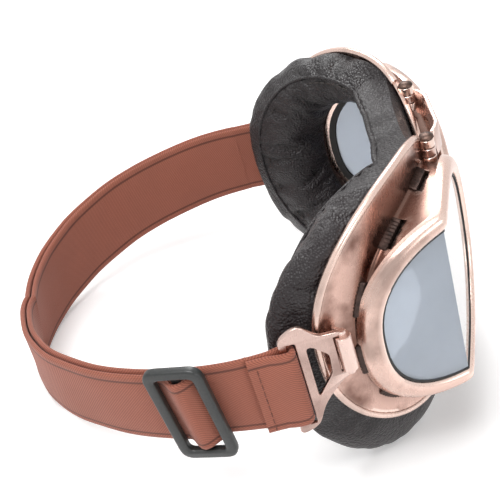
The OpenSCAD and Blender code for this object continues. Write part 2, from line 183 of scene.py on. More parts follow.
def cup(side, u, v, w):
    """Point of a cup: u outwards from the hinge, v up, w forwards."""
    p = stand(HINGE_X + u * cosd(CUP_YAW) + w * sind(CUP_YAW), u * sind(CUP_YAW) - w * cosd(CUP_YAW), v)
    p.x *= side
    return p


TAB_X = HINGE_X + TAB_AT[0] * cosd(CUP_YAW) + TAB_AT[2] * sind(CUP_YAW)
TAB_Y = TAB_AT[0] * sind(CUP_YAW) - TAB_AT[2] * cosd(CUP_YAW)


def plate(side, s, h, z):
    """Point of a hook plate: s back from the hinge bar, h up along it, z outwards."""
    p = stand(TAB_X + s * sind(PLATE_TURN) + z * cosd(PLATE_TURN),
              TAB_Y + s * cosd(PLATE_TURN) - z * sind(PLATE_TURN), TAB_AT[1] + h)
    p.x *= side
    return p


def edit_mesh(mesh, *steps):
    """Runs steps on a mesh opened for bmesh operations."""
    work = bmesh.new()
    work.from_mesh(mesh)
    for step in steps:
        step(work)
    work.to_mesh(mesh)
    work.free()


def face_outwards(work):
    bmesh.ops.recalc_face_normals(work, faces=work.faces)


def drop_loose(work):
    """Deletes the points that no face uses."""
    bmesh.ops.delete(work, geom=[v for v in work.verts if not v.link_faces], context="VERTS")


def weld(work):
    bmesh.ops.remove_doubles(work, verts=work.verts, dist=1e-6)


def add_object(name, data):
    piece = bpy.data.objects.new(name, data)
    bpy.context.collection.objects.link(piece)
    return piece


def evaluated_mesh(piece):
    """A new mesh of what the piece's modifiers or curve make."""
    return bpy.data.meshes.new_from_object(piece.evaluated_get(bpy.context.evaluated_depsgraph_get()))


def new_object(name, verts, faces, material, uvs=None, sharp=40):
    """Mesh piece from points in millimetres, outward normals, smooth up to an angle."""
    mesh = bpy.data.meshes.new(name)
    mesh.from_pydata([Vector(v) * MM for v in verts], [], faces)
    if uvs:
        layer = mesh.uv_layers.new(name="UVMap")
        for loop in mesh.loops:
            layer.data[loop.index].uv = uvs[loop.vertex_index]
    edit_mesh(mesh, face_outwards)
    mesh.materials.append(material)
    piece = add_object(name, mesh)
    smooth(piece, sharp)
    return piece


def paint(piece, values):
    """Writes the painted shade of each point, from 0 for bright to 1 for dark."""
    layer = piece.data.attributes.new("painted_shade", "FLOAT", "POINT")
    layer.data.foreach_set("value", values)


def smooth(piece, angle):
    piece.data.shade_smooth()
    piece.data.set_sharp_from_angle(angle=math.radians(angle))


def apply_modifiers(piece, angle=40):
    """Replaces a piece's mesh by what its modifiers make of it."""
    mesh = evaluated_mesh(piece)
    piece.modifiers.clear()
    piece.data = mesh
    smooth(piece, angle)
    return piece


def bevel(piece, width, angle=35):
    mod = piece.modifiers.new("bevel", "BEVEL")
    mod.width = width * MM
    mod.segments = 2
    mod.limit_method = "ANGLE"
    mod.angle_limit = math.radians(angle)
    mod.use_clamp_overlap = True
    return apply_modifiers(piece)


def subdivide(piece, angle):
    mod = piece.modifiers.new("subdivision", "SUBSURF")
    mod.levels = mod.render_levels = 1
    return apply_modifiers(piece, angle)


def ring_faces(count, across, closed=True):
    """Quads between successive closed sections of a loft; an open loft gets end caps."""
    faces = []
    for i in range(count if closed else count - 1):
        for j in range(across):
            a, b = i * across + j, i * across + (j + 1) % across
            k = ((i + 1) % count) * across
            faces.append((a, b, k + (j + 1) % across, k + j))
    if not closed:
        faces.append(tuple(range(across)))
        faces.append(tuple((count - 1) * across + j for j in reversed(range(across))))
    return faces


def shell_faces(count, rows, hole):
    """Two skins of count x rows points, joined at their edges and round each hole."""
    faces = []
    half = count * rows

    def full(i, j):
        return 0 <= j < rows - 1 and not hole(i % count, j)

    for i in range(count):
        n = (i + 1) % count
        for j in range(rows - 1):
            if not full(i, j):
                continue
            a, b, c, d = i * rows + j, i * rows + j + 1, n * rows + j + 1, n * rows + j
            faces.append((a, b, c, d))
            faces.append((half + d, half + c, half + b, half + a))
            for near, edge in ((full(i, j - 1), (d, a)), (full(i, j + 1), (b, c)),
                               (full(i - 1, j), (a, b)), (full(i + 1, j), (c, d))):
                if not near:
                    faces.append((edge[1], edge[0], half + edge[0], half + edge[1]))
    return faces


def cylinder(name, place, start, end, radius, material, edge=0.2):
    """Round bar between two points of a local frame, with eased ends."""
    start, end = Vector(start), Vector(end)
    axis = (end - start).normalized()
    one = axis.orthogonal().normalized()
    two = axis.cross(one)
    rings = [(0, radius - edge), (edge, radius), ((end - start).length - edge, radius),
             ((end - start).length, radius - edge)]
    verts = []
    for along, r in rings:
        for k in range(ROUND):
            a = math.tau * k / ROUND
            verts.append(place(*(start + axis * along + one * r * math.cos(a) + two * r * math.sin(a))))
    return new_object(name, verts, ring_faces(len(rings), ROUND, False), material)


def block(name, place, low, high, material, edge=0.15):
    """Eased box in a local frame."""
    corners = [(x, y, z) for x in (low[0], high[0]) for y in (low[1], high[1]) for z in (low[2], high[2])]
    faces = [(0, 1, 3, 2), (4, 6, 7, 5), (0, 4, 5, 1), (2, 3, 7, 6), (0, 2, 6, 4), (1, 5, 7, 3)]
    return bevel(new_object(name, [place(*c) for c in corners], faces, material), edge)


def join(name, pieces):
    """One piece from several, each of them closed."""
    joined = bmesh.new()
    for piece in pieces:
        joined.from_mesh(piece.data)
    mesh = bpy.data.meshes.new(name)
    joined.to_mesh(mesh)
    joined.free()
    for material in pieces[0].data.materials:
        mesh.materials.append(material)
    whole = add_object(name, mesh)
    for piece in pieces:
        bpy.data.objects.remove(piece)
    smooth(whole, 40)
    return whole


def hand_in(piece, body, slot, *nodes):
    """Rides a finished piece on its body and hides the CAD nodes that it stands in for."""
    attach(piece, body)
    declare(piece, slot, *nodes)


def bend(piece, body_a, body_b, start, end, slot, *nodes):
    """Bakes a finished piece's placement into its mesh and hides the CAD nodes it stands in for; the two bodies
    and the two points in millimetres are not used.
    """
    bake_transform(piece)
    declare(piece, slot, *nodes)


def declare(piece, slot, *nodes):
    if nodes:
        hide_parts(*nodes)


# Materials
class Nodes:
    """Short way to write the node tree of a material, or of the world."""

    def __init__(self, name, world=False):
        self.owner = (bpy.data.worlds if world else bpy.data.materials).new(name)
        self.owner.use_nodes = True
        self.tree = self.owner.node_tree
        self.shader = self.tree.nodes["Background" if world else "Principled BSDF"]
        self.coords = self.tree.nodes.new("ShaderNodeTexCoord").outputs
        self.space = self.coords["Generated" if world else "Object"]

    def add(self, kind, **values):
        node = self.tree.nodes.new("ShaderNode" + kind)
        for key, value in values.items():
            if key in node.inputs:
                node.inputs[key].default_value = value
            else:
                setattr(node, key, value)
        return node

    def link(self, source, target):
        self.tree.links.new(source, target)

    def put(self, socket, value):
        """Sets a socket to a number or a colour, or links it to an output."""
        if isinstance(value, (int, float)):
            socket.default_value = value
        elif isinstance(value, tuple):
            socket.default_value = (*value, 1)
        else:
            self.link(value, socket)

    def combine(self, kind, *values, **settings):
        """First output of a new node, its sockets filled in their order."""
        node = self.add(kind, **settings)
        for socket, value in zip(node.inputs, values):
            self.put(socket, value)
        return node.outputs[0]

    def noise(self, scale, detail=4.0, rough=0.6, stretch=None):
        node = self.add("TexNoise", Scale=scale, Detail=detail, Roughness=rough)
        vector = self.space
        if stretch:
            mapping = self.add("Mapping")
            mapping.inputs["Scale"].default_value = stretch
            self.link(vector, mapping.inputs["Vector"])
            vector = mapping.outputs["Vector"]
        self.link(vector, node.inputs["Vector"])
        return node.outputs["Fac"]

    def ramp(self, source, stops):
        node = self.add("ValToRGB")
        band = node.color_ramp
        while len(band.elements) < len(stops):
            band.elements.new(0.5)
        for element, (at, colour) in zip(band.elements, stops):
            element.position = at
            element.color = (*colour, 1)
        self.link(source, node.inputs["Fac"])
        return node.outputs["Color"]

    def math(self, operation, *values):
        return self.combine("Math", *values, operation=operation)

    def mix(self, share, a, b, blend="MIX"):
        node = self.add("Mix", data_type="RGBA", blend_type=blend)
        for k, value in ((0, share), (6, a), (7, b)):
            self.put(node.inputs[k], value)
        return node.outputs[2]

    def span(self, source, low, high, to_low=0.0, to_high=1.0):
        node = self.add("MapRange")
        for key, value in (("From Min", low), ("From Max", high), ("To Min", to_low), ("To Max", to_high)):
            node.inputs[key].default_value = value
        self.link(source, node.inputs["Value"])
        return node.outputs["Result"]

    def bump(self, height, distance, strength=1.0):
        node = self.add("Bump", Strength=strength, Distance=distance)
        self.link(height, node.inputs["Height"])
        self.link(node.outputs["Normal"], self.shader.inputs["Normal"])

    def set(self, **values):
        for key, value in values.items():
            self.put(self.shader.inputs[key.replace("_", " ")], value)


# Dark colour of the painted shade on the copper frame.
PAINTED_SHADE_TONE = (0.12, 0.062, 0.047)


def copper_material(name, bright, dark, wear):
    """Antique copper; a point attribute of painted shade darkens it from 0 to 1."""
    n = Nodes(name)
    stain = n.noise(62, 4, 0.5)
    fine = n.noise(900, 3, 0.7, (1, 1, 0.35))
    tone = n.ramp(stain, [(0.36, dark), (0.52, bright)])
    edges = n.span(n.add("NewGeometry").outputs["Pointiness"], 0.5, 0.56)
    # The point attribute holds painted shade at the box wall's foot and beside the bridge hinge; it blends the
    # copper towards the shade colour.
    painted_shade = n.add("Attribute", attribute_name="painted_shade").outputs["Fac"]
    n.set(Base_Color=n.mix(painted_shade, n.mix(edges, tone, wear), PAINTED_SHADE_TONE), Metallic=1.0)
    n.set(Roughness=n.span(n.mix(0.5, stain, fine), 0.3, 0.7, 0.20, 0.34))
    n.bump(fine, 0.00002, 0.4)
    return n.owner


def grained_material(name, scale, detail, rough, colours, roughness, bump=None, metallic=0.0):
    """Colour, roughness and relief that all follow one noise."""
    n = Nodes(name)
    grain = n.noise(scale, detail, rough)
    if isinstance(roughness, tuple):
        roughness = n.span(grain, 0.3, 0.7, *roughness)
    n.set(Base_Color=n.ramp(grain, colours), Roughness=roughness, Metallic=metallic)
    if bump:
        n.bump(grain, *bump)
    return n.owner


def thread_material(name, dark, light):
    return grained_material(name, 3000, 2, 0.5, [(0.3, dark), (0.7, light)], 0.7, (0.0001, 0.6))


def glass_material(name, dim, bright, through):
    n = Nodes(name)
    haze = n.noise(60, 3, 0.5)
    n.set(Base_Color=n.ramp(haze, [(0.3, dim), (0.7, bright)]))
    n.set(Transmission_Weight=through, IOR=1.5, Coat_Weight=0.6, Coat_Roughness=0.03)
    n.set(Roughness=n.span(haze, 0.2, 0.8, 0.03, 0.09))
    return n.owner


def leather_material():
    n = Nodes("leather")
    cells = n.add("TexVoronoi", Scale=1350.0, feature="F1")
    n.link(n.space, cells.inputs["Vector"])
    creases = n.noise(330, 5, 0.62)
    patches = n.noise(34, 4, 0.6)
    pebble = n.math("SUBTRACT", 1.0, cells.outputs["Distance"])
    tone = n.ramp(patches, [(0.32, (0.007, 0.0045, 0.0052)), (0.7, (0.018, 0.0125, 0.014))])
    worn = n.mix(n.span(creases, 0.5, 0.8, 0.0, 0.06), tone, (0.085, 0.068, 0.070))
    n.set(Base_Color=worn, Roughness=n.span(patches, 0.3, 0.7, 0.33, 0.40))
    n.set(Coat_Weight=0.12, Coat_Roughness=0.25, Sheen_Weight=0.03, Specular_IOR_Level=0.36)
    n.bump(n.mix(0.06, pebble, creases), 0.0005, 0.9)
    return n.owner


WEBBING_ROWS = 64.0
WEBBING_PICK = 2300.0


def webbing_material():
    """Twill elastic: UV x runs along the strap in metres, y across it from 0 to 1."""
    n = Nodes("webbing")
    split = n.add("SeparateXYZ")
    n.link(n.coords["UV"], split.inputs["Vector"])
    along, across = split.outputs["X"], split.outputs["Y"]
    warp = n.math("MULTIPLY", across, WEBBING_ROWS)
    weft = n.math("MULTIPLY", along, WEBBING_PICK)
    twill = n.math("SINE", n.math("MULTIPLY", n.math("ADD", warp, weft), math.pi))
    cords = n.math("SINE", n.math("MULTIPLY", warp, math.tau))
    yarn = n.math("ADD", n.math("MULTIPLY", twill, 0.6), n.math("MULTIPLY", cords, 0.4))
    fuzz = n.noise(1800, 3, 0.7)
    patches = n.noise(60, 4, 0.6)
    height = n.span(yarn, -1.0, 1.0)
    tone = n.mix(height, (0.19, 0.054, 0.034), (0.52, 0.175, 0.11))
    tone = n.mix(n.span(patches, 0.35, 0.7, 0.0, 0.3), tone, (0.27, 0.095, 0.062))
    edge = n.math("ABSOLUTE", n.math("SUBTRACT", across, 0.5))
    line = n.span(n.math("ABSOLUTE", n.math("SUBTRACT", edge, 0.41)), 0.008, 0.02, 0.75, 0.0)
    n.set(Base_Color=n.mix(line, tone, (0.075, 0.024, 0.017)), Roughness=0.85, Sheen_Weight=0.12)
    n.bump(n.mix(0.45, height, fuzz), 0.0002, 0.7)
    return n.owner


COPPER = copper_material("copper", (0.63, 0.415, 0.35), (0.17, 0.085, 0.065), (0.86, 0.67, 0.59))
PLATE_COPPER = copper_material("plate_copper", (0.47, 0.325, 0.285), (0.15, 0.08, 0.065), (0.74, 0.56, 0.50))
DARK_METAL = grained_material(
    "dark_metal", 400, 4, 0.6, [(0.35, (0.045, 0.03, 0.025)), (0.7, (0.16, 0.10, 0.08))], (0.32, 0.5),
    (0.00005, 0.4), 0.9)
MESH_METAL = grained_material(
    "vent_mesh", 700, 3, 0.6, [(0.3, (0.02, 0.013, 0.011)), (0.75, (0.10, 0.06, 0.05))], (0.35, 0.55),
    metallic=0.7)
# The side pane's bluish tint, set apart from the neutral front pane, is a painted reflection.
SIDE_GLASS = glass_material("side_glass", (0.57, 0.64, 0.73), (0.63, 0.70, 0.80), 0.5)
FRONT_GLASS = glass_material("front_glass", (0.74, 0.73, 0.74), (0.80, 0.79, 0.80), 0.55)
RUBBER = grained_material(
    "gasket_rubber", 500, 3, 0.6, [(0.3, (0.012, 0.012, 0.012)), (0.8, (0.035, 0.033, 0.032))], (0.45, 0.65),
    (0.00003, 0.5))
LEATHER = leather_material()
FOAM = grained_material(
    "foam", 2500, 3, 0.7, [(0.3, (0.52, 0.45, 0.30)), (0.7, (0.75, 0.68, 0.50))], 0.95, (0.0003, 0.8))
THREAD = thread_material("thread", (0.02, 0.016, 0.015), (0.06, 0.05, 0.045))
STRAP_THREAD = thread_material("strap_thread", (0.10, 0.03, 0.02), (0.26, 0.09, 0.06))
WEBBING = webbing_material()
PLASTIC = grained_material(
    "slider_plastic", 1500, 3, 0.6, [(0.3, (0.020, 0.022, 0.022)), (0.7, (0.034, 0.037, 0.036))], (0.30, 0.42),
    (0.00003, 0.5))


# Copper frame: flange, root fillet and box wall as one pressed sheet
ROOT_R = 1.1
SHEET_EDGE = 0.22
FLANGE_ROWS = 10
WALL_ROWS = 12
VENT_LIFT = 0.6
LUG_LEAF = (0.1, 1.2)
TAB_SINK = 0.4
TAB_LEAF_T = 0.9


def frame_profile(t, grow):
    """Front skin of the sheet at a turn, or its back skin where grow is the sheet's thickness."""
    edge, root = flange_pt(t), lens_pt(t, WALL_OUT + ROOT_R)
    points = []
    for k in range(FLANGE_ROWS):
        p = edge.lerp(root, k / (FLANGE_ROWS - 1))
        points.append((p.x, p.y, flange_z(p.x) - grow))
    for k in (1, 2, 3):
        a = 30 * k
        p = lens_pt(t, WALL_OUT + ROOT_R - (ROOT_R + grow) * sind(a))
        points.append((p.x, p.y, flange_z(p.x) + ROOT_R - (ROOT_R + grow) * cosd(a)))
    low = points[-1][2]
    for k in range(1, WALL_ROWS + 1):
        p = lens_pt(t, WALL_OUT - grow)
        top = pane_z(p.x) + LIP_TOP - 0.02
        foot = flange_z(p.x) + ROOT_R
        points.append((p.x, p.y, max(low, foot + (top - foot) * k / WALL_ROWS)))
    return points


def in_vent(i, j):
    """True where a cell of the wall belongs to a vent slot."""
    t = 360 * (i + 0.5) / AROUND
    row = j - FLANGE_ROWS - 2
    if row < 0:
        return False
    p = lens_pt(t, WALL_OUT)
    foot, top = flange_z(p.x) + ROOT_R, pane_z(p.x) + LIP_TOP
    height = foot + (top - foot) * (row + 0.5) / WALL_ROWS - flange_z(p.x)
    if not 0 < height - VENT_RISE - VENT_LIFT < VENT_H:
        return False
    return any((lens_pt(t, WALL_OUT) - lens_pt(a, WALL_OUT)).length < VENT_L / 2 for a in VENT_ANGLES)


def wall_foot_shade(row):
    """Painted shade, darkest at the box wall's foot, fading outwards over the flange and up the wall."""
    if row < FLANGE_ROWS:
        return 0.9 * (row / FLANGE_ROWS) ** 2.2
    return 0.95 - 0.55 * (row - FLANGE_ROWS) / (WALL_ROWS + 3)


# Centre and half sizes of the painted shade beside the bridge hinge.
HINGE_SHADE_AT = (4.5, 24.0)
HINGE_SHADE_W = 3.4
HINGE_SHADE_H = 5.5


def hinge_shade(point):
    """Painted shade of the hollow beside the bridge hinge: a soft dark oval."""
    d = ((point[0] - HINGE_SHADE_AT[0]) / HINGE_SHADE_W) ** 2 + ((point[1] - HINGE_SHADE_AT[1]) / HINGE_SHADE_H) ** 2
    return 1.0 - d * d if d < 1 else 0.0


def make_frame(name, side):
    turns = [360 * i / AROUND for i in range(AROUND)]
    front = [p for t in turns for p in frame_profile(t, 0)]
    back = [p for t in turns for p in frame_profile(t, SHEET_T)]
    rows = len(front) // AROUND
    place = [cup(side, *p) for p in front + back]
    shell = new_object(name + "_frame_shell", place, shell_faces(AROUND, rows, in_vent), COPPER)
    # Painted shade at the wall's foot and beside the bridge hinge, the same on both skins.
    shades = [max(wall_foot_shade(k % rows), hinge_shade(p)) for k, p in enumerate(front)]
    paint(shell, shades * 2)
    edit_mesh(shell.data, drop_loose)
    bevel(shell, SHEET_EDGE, 50)

    at = partial(cup, side)
    lug_h = KNUCKLE_H - KNUCKLE_GAP
    foot = flange_z(0)
    for k, s in (("upper", 1), ("lower", -1)):
        low = HINGE_V + s * KNUCKLE_H - lug_h / 2
        barrel = cylinder(f"{name}_{k}_knuckle", at, (0, low, 0), (0, low + lug_h, 0), HINGE_R, COPPER, PIN_EDGE)
        leaf = block("leaf", at, (LUG_LEAF[0], low, foot), (LUG_LEAF[1], low + lug_h, 0), COPPER)
        hand_in(join(f"{name}_{k}_lug", [barrel, leaf]), name + "_cup", "copper")
    u, v, w = TAB_AT
    tab = cylinder("tab", at, (u, v - TAB_H / 2, w), (u, v + TAB_H / 2, w), TAB_R, PLATE_COPPER, 0.2)
    seat, inner = flange_z(u) - TAB_SINK, u - TAB_R
    leaf = block("tab_leaf", at, (inner, v - TAB_H / 2, seat), (inner + TAB_LEAF_T, v + TAB_H / 2, w), COPPER)
    hand_in(join(name + "_temple_tab", [tab, leaf]), name + "_cup", "copper")
    hand_in(shell, name + "_cup", "copper", name + "_frame")


# Rounded lens rim and rolled binding
RIM_SECTION = ((0, 0), (0, 2.5), (0.35, 3.15), (1.1, 3.55), (2.1, 3.6), (3.1, 3.4), (3.8, 2.85),
               (4.15, 2.0), (4.2, 1.0), (4.2, 0))


def make_rim(name, side):
    verts = []
    for i in range(AROUND):
        for out, up in RIM_SECTION:
            p = lens_pt(360 * i / AROUND, GASKET_T + out)
            verts.append(cup(side, p.x, p.y, pane_z(p.x) + LIP_TOP + up))
    rim = new_object(name + "_lens_rim", verts, ring_faces(AROUND, len(RIM_SECTION)), COPPER, sharp=50)
    hand_in(rim, name + "_cup", "copper", name + "_rim")


BEAD_SIDES = 14
BEAD_CUT = PIN_HEAD_R + 0.4
BEAD_OUT = 0.35
BEAD_FLAT = 0.85
BEAD_BACK = 0.6


def make_binding(name, side):
    """Bead round the flange's edge, open where the bridge hinge stands."""
    turns = [360 * i / AROUND for i in range(AROUND)]
    clear = [t for t in turns if not (abs(flange_pt(t).x) < BEAD_CUT and flange_pt(t).y > 0)]
    gap = next(i for i in range(len(clear)) if clear[i] - clear[i - 1] > 1.5 * 360 / AROUND)
    clear = clear[gap:] + clear[:gap]
    r = BINDING_D / 2
    verts = []
    for t in clear:
        one, two = flange_pt(t), flange_pt(t + 1)
        across = Vector((two.y - one.y, one.x - two.x)).normalized()
        for k in range(BEAD_SIDES):
            a = 360 * k / BEAD_SIDES
            p = one + across * (BEAD_OUT + r * BEAD_FLAT * cosd(a))
            verts.append(cup(side, p.x, p.y, flange_z(one.x) - BEAD_BACK + r * sind(a)))
    bead = new_object(name + "_edge_bead", verts, ring_faces(len(clear), BEAD_SIDES, False), COPPER, sharp=50)
    hand_in(bead, name + "_cup", "copper", name + "_binding")


MESH_RIBS = 110
MESH_T = 0.8
MESH_GAP = 0.1
RIB_H = 0.22


def make_vent_mesh(name, side):
    """Ribbed strip that lines the box behind the slots."""
    steps = MESH_RIBS * 4
    verts = []
    for i in range(steps):
        t = 360 * i / steps
        rib = RIB_H * (i % 4 in (1, 2))
        outer, inner = (lens_pt(t, BOX_GAP - MESH_GAP - depth) for depth in (RIB_H - rib, MESH_T))
        for p, high in ((outer, False), (outer, True), (inner, True), (inner, False)):
            top = pane_z(p.x) + LIP_TOP - LIP_T - MESH_GAP
            verts.append(cup(side, p.x, p.y, top if high else flange_z(p.x) - SHEET_T))
    strip = new_object(name + "_mesh_strip", verts, ring_faces(steps, 4), MESH_METAL, sharp=20)
    hand_in(strip, name + "_cup", "vent_mesh", name + "_vent_mesh")
    inserts = [make_insert(side, angle) for angle in VENT_ANGLES]
    hand_in(join(name + "_vent_inserts", inserts), name + "_cup", "vent_mesh")


INSERT_RIB = 0.95
INSERT_H = 2.2
INSERT_LOW = 0.9
INSERT_OUT = 0.75
CLEAR_BELOW = 50


def make_insert(side, angle):
    """Ribbed mesh that shows at one slot: in the box wall's foot, or beside the rim where the wall is low."""
    beside = angle < CLEAR_BELOW
    reach = RIM_OUT - WALL_OUT - 0.1 if beside else 0
    top = INSERT_LOW if beside else INSERT_H
    turn = [angle]
    while (lens_pt(turn[-1], WALL_OUT) - lens_pt(angle, WALL_OUT)).length < VENT_L / 2:
        turn.append(turn[-1] + 0.1)
    half = turn[-1] - angle
    count = 2 * round(VENT_L / INSERT_RIB) + 1
    verts = []
    for i in range(count):
        t = angle + half * (2 * i / (count - 1) - 1)
        rib = 0.3 * (i % 2)
        for out, up in ((INSERT_OUT, -0.2), (INSERT_OUT + rib, 0.25), (0.1 + rib, top), (-0.8, top),
                        (-0.8, -0.2)):
            p = lens_pt(t, WALL_OUT + reach + out)
            verts.append(cup(side, p.x, p.y, flange_z(p.x) + up))
    return new_object("insert", verts, ring_faces(count, 5, False), MESH_METAL, sharp=20)


# Cushions: leather over foam, inflated by a cloth simulation between its seams
EDGE_IN = 0.8
SWELL_C = (33.9, -1.3)
SWELL_IN = 38.6
SWELL_UP = 37.1
NOSE_SHARE = 0.62
NOSE_RUN = 40
BEND_END = 62
CUSHION_GAP = 0.3
OPENING_GAP = 0.4
NOSE_COVER = 7
COVER_ROWS = ((1, 0, 0), (1, 0.7, 0.22), (1, 1, 0.5), (0.94, 0.9, 0.78), (0.76, 0.55, 0.96),
              (0.52, 0.25, 1), (0.28, 0.05, 0.88), (0.1, 0, 0.6), (0.02, 0, 0.3), (0, 0, 0))
SEAM_AT = 4
ROW_SPLIT = 4
FRONT_SPLIT = 8
CUSHION_AROUND = 168
FOAM_AROUND = 72


def swell_pt(t):
    x, y = lobe(t, FLANGE_C[0] + FLANGE_OUT + CUSHION_OUT - SWELL_C[0], SWELL_IN, SWELL_UP,
                FLANGE_DOWN - FLANGE_C[1] + CUSHION_LOW - SWELL_C[1] - EDGE_IN, 2)
    return Vector((SWELL_C[0] + x, SWELL_C[1] + y))


def cushion_pt(t, row, ripple=0.0):
    f, b = flange_pt(t, -EDGE_IN), swell_pt(t)
    o = lens_pt(t, OPENING_GAP) + Vector((NOSE_COVER * max(0, -cosd(t)) ** 1.5, 0))
    p = o + (f - o) * row[0] + (b - f) * row[1]
    front = flange_z(p.x) - SHEET_T - CUSHION_GAP
    back = flange_z(min(p.x, BEND_END)) - SHEET_T - CUSHION_D * (
        NOSE_SHARE + (1 - NOSE_SHARE) * min(1, max(0, p.x) / NOSE_RUN)) + ripple
    return p.x, p.y, front + (back - front) * row[2]


def spline(a, b, c, d, t):
    """Catmull-Rom point between b and c."""
    return 0.5 * (2 * b + (c - a) * t + (2 * a - 5 * b + 4 * c - d) * t * t + (3 * b - a - 3 * c + d) * t ** 3)


def fine_rows():
    """Smooth run of rows through the cover's own, ROW_SPLIT to each."""
    points = [Vector(r) for r in COVER_ROWS]
    ends = [points[0] * 2 - points[1]] + points + [points[-1] * 2 - points[-2]]
    fine = [spline(*ends[i:i + 4], k / ROW_SPLIT) for i in range(len(points) - 1) for k in range(ROW_SPLIT)]
    return fine + [points[-1]]


def noise_round(t, radius, height):
    """Noise that closes on itself round the cushion."""
    return noise.noise(Vector((radius * cosd(t), radius * sind(t), height)))


def wrinkle(t):
    """Uneven folds that run from the seam towards the opening, from -1 to 1."""
    folds = math.sin(FOLDS * math.radians(t) + 7 * noise_round(t, 2.2, 3.0))
    return folds * (0.5 + 0.5 * noise_round(t, 5, 12.0))


def wave(t):
    """Broad unevenness of the stuffing round the outer side, from -1 to 1."""
    return 2 * noise_round(t, 3.1, 7.0)


FOLDS = 22
FOLD_IN = 1.2
FOLD_OUTSIDE = 0.12
WAVE = 0.6


SIM_SCALE = 10.0
SIM_STEPS = 18
SIM_PRESSURE = 3.5
SIM_CAP = 1.3


def calm(t):
    """0 at the temple, where the hook plate swings past the cushion, 1 away from it."""
    return min(1.0, max(0.0, (abs((t + 180) % 360 - 180) - 22) / 20))


def inflate(piece, pinned, caps):
    """Cloth under pressure between pinned seams; its result is applied to the mesh, each point up to its cap."""
    start = [v.co.copy() for v in piece.data.vertices]
    for v in piece.data.vertices:
        v.co *= SIM_SCALE
    group = piece.vertex_groups.new(name="pinned")
    group.add(pinned, 1.0, "REPLACE")
    mod = piece.modifiers.new("cloth", "CLOTH")
    cloth = mod.settings
    cloth.vertex_group_mass = "pinned"
    cloth.use_pressure = True
    cloth.uniform_pressure_force = SIM_PRESSURE
    cloth.effector_weights.gravity = 0
    cloth.quality = 5
    cloth.mass = 0.4
    cloth.tension_stiffness = 12
    cloth.compression_stiffness = 12
    cloth.bending_stiffness = 1.5
    cloth.shrink_min = -0.06
    mod.point_cache.frame_start = 1
    mod.point_cache.frame_end = SIM_STEPS
    scene = bpy.context.scene
    for step in range(1, SIM_STEPS + 1):
        scene.frame_set(step)
    graph = bpy.context.evaluated_depsgraph_get()
    moved = [v.co.copy() / SIM_SCALE for v in piece.evaluated_get(graph).data.vertices]
    piece.modifiers.clear()
    piece.vertex_groups.clear()
    scene.frame_set(1)
    for v, old, new, cap in zip(piece.data.vertices, start, moved, caps):
        shift = new - old
        if shift.length > cap * MM:
            shift *= cap * MM / shift.length
        v.co = old + shift


def make_cushion(name, side):
    rows = fine_rows() + [Vector((k / FRONT_SPLIT, 0, 0)) for k in range(1, FRONT_SPLIT)]
    across = len(rows)
    cover_end = (len(COVER_ROWS) - 1) * ROW_SPLIT
    seam = SEAM_AT * ROW_SPLIT
    verts, pinned, caps = [], [], []
    for i in range(CUSHION_AROUND):
        t = 360 * i / CUSHION_AROUND
        for j, row in enumerate(rows):
            fold = 0.0
            if 0 < j < cover_end:
                inner = max(0.0, math.sin(math.pi * (j - seam) / (cover_end - seam))) if j > seam else 0.0
                outer = math.sin(math.pi * j / seam) if j < seam else 0.0
                fold = (FOLD_IN * inner + FOLD_OUTSIDE * outer) * wrinkle(t) + WAVE * calm(t) * outer * wave(t)
            x, y, z = cushion_pt(t, row, fold)
            verts.append(cup(side, x, y, z))
            caps.append(SIM_CAP if j > seam else SIM_CAP * (0.1 + 0.9 * calm(t)))
            if j in (0, seam) or j >= cover_end:
                pinned.append(i * across + j)
    cover = new_object(name + "_leather_cushion", verts, ring_faces(CUSHION_AROUND, across), LEATHER, sharp=70)
    inflate(cover, pinned, caps)
    subdivide(cover, 75)
    hand_in(cover, name + "_cup", "leather", name + "_cushion")
    foam = []
    for i in range(FOAM_AROUND):
        for row in COVER_ROWS:
            share = (0.55 + (row[0] - 0.55) * 0.45, 0.38 + (row[1] - 0.38) * 0.4, 0.18 + row[2] * 0.46)
            foam.append(cup(side, *cushion_pt(360 / FOAM_AROUND * i, share)))
    pad = new_object(name + "_foam_pad", foam, ring_faces(FOAM_AROUND, len(COVER_ROWS)), FOAM, sharp=70)
    hand_in(pad, name + "_cup", "foam", name + "_foam")
    make_welt(name, side)


WELT_R = 0.55
STITCH_PITCH = 2.4
STITCH_L = 1.6


def tube_along(name, points, radius, material, sides=8, closed=False):
    """Round tube along a list of points in millimetres."""
    count = len(points)
    verts = []
    for i, p in enumerate(points):
        after = points[(i + 1) % count] if closed or i < count - 1 else p
        before = points[i - 1] if closed or i > 0 else p
        ahead = (after - before).normalized()
        one = ahead.cross(Vector((0.2, 0.1, 1))).normalized()
        two = ahead.cross(one)
        for k in range(sides):
            a = math.tau * k / sides
            verts.append(p + (one * math.cos(a) + two * math.sin(a)) * radius)
    return new_object(name, verts, ring_faces(count, sides, closed), material, sharp=60)


def make_welt(name, side):
    """Corded seam round the back of the cushion, with stitches beside it."""
    rows = fine_rows()
    seam = rows[SEAM_AT * ROW_SPLIT]
    path = [cup(side, *cushion_pt(2 * i, seam)) for i in range(180)]
    welt = tube_along(name + "_seam_welt", path, WELT_R, LEATHER, closed=True)
    hand_in(welt, name + "_cup", "leather")
    stitch_row = rows[SEAM_AT * ROW_SPLIT + 2]
    line = [cup(side, *cushion_pt(0.5 * i, stitch_row)) for i in range(720)]
    hand_in(stitches(name + "_seam_stitches", line, THREAD, 0.22), name + "_cup", "leather")


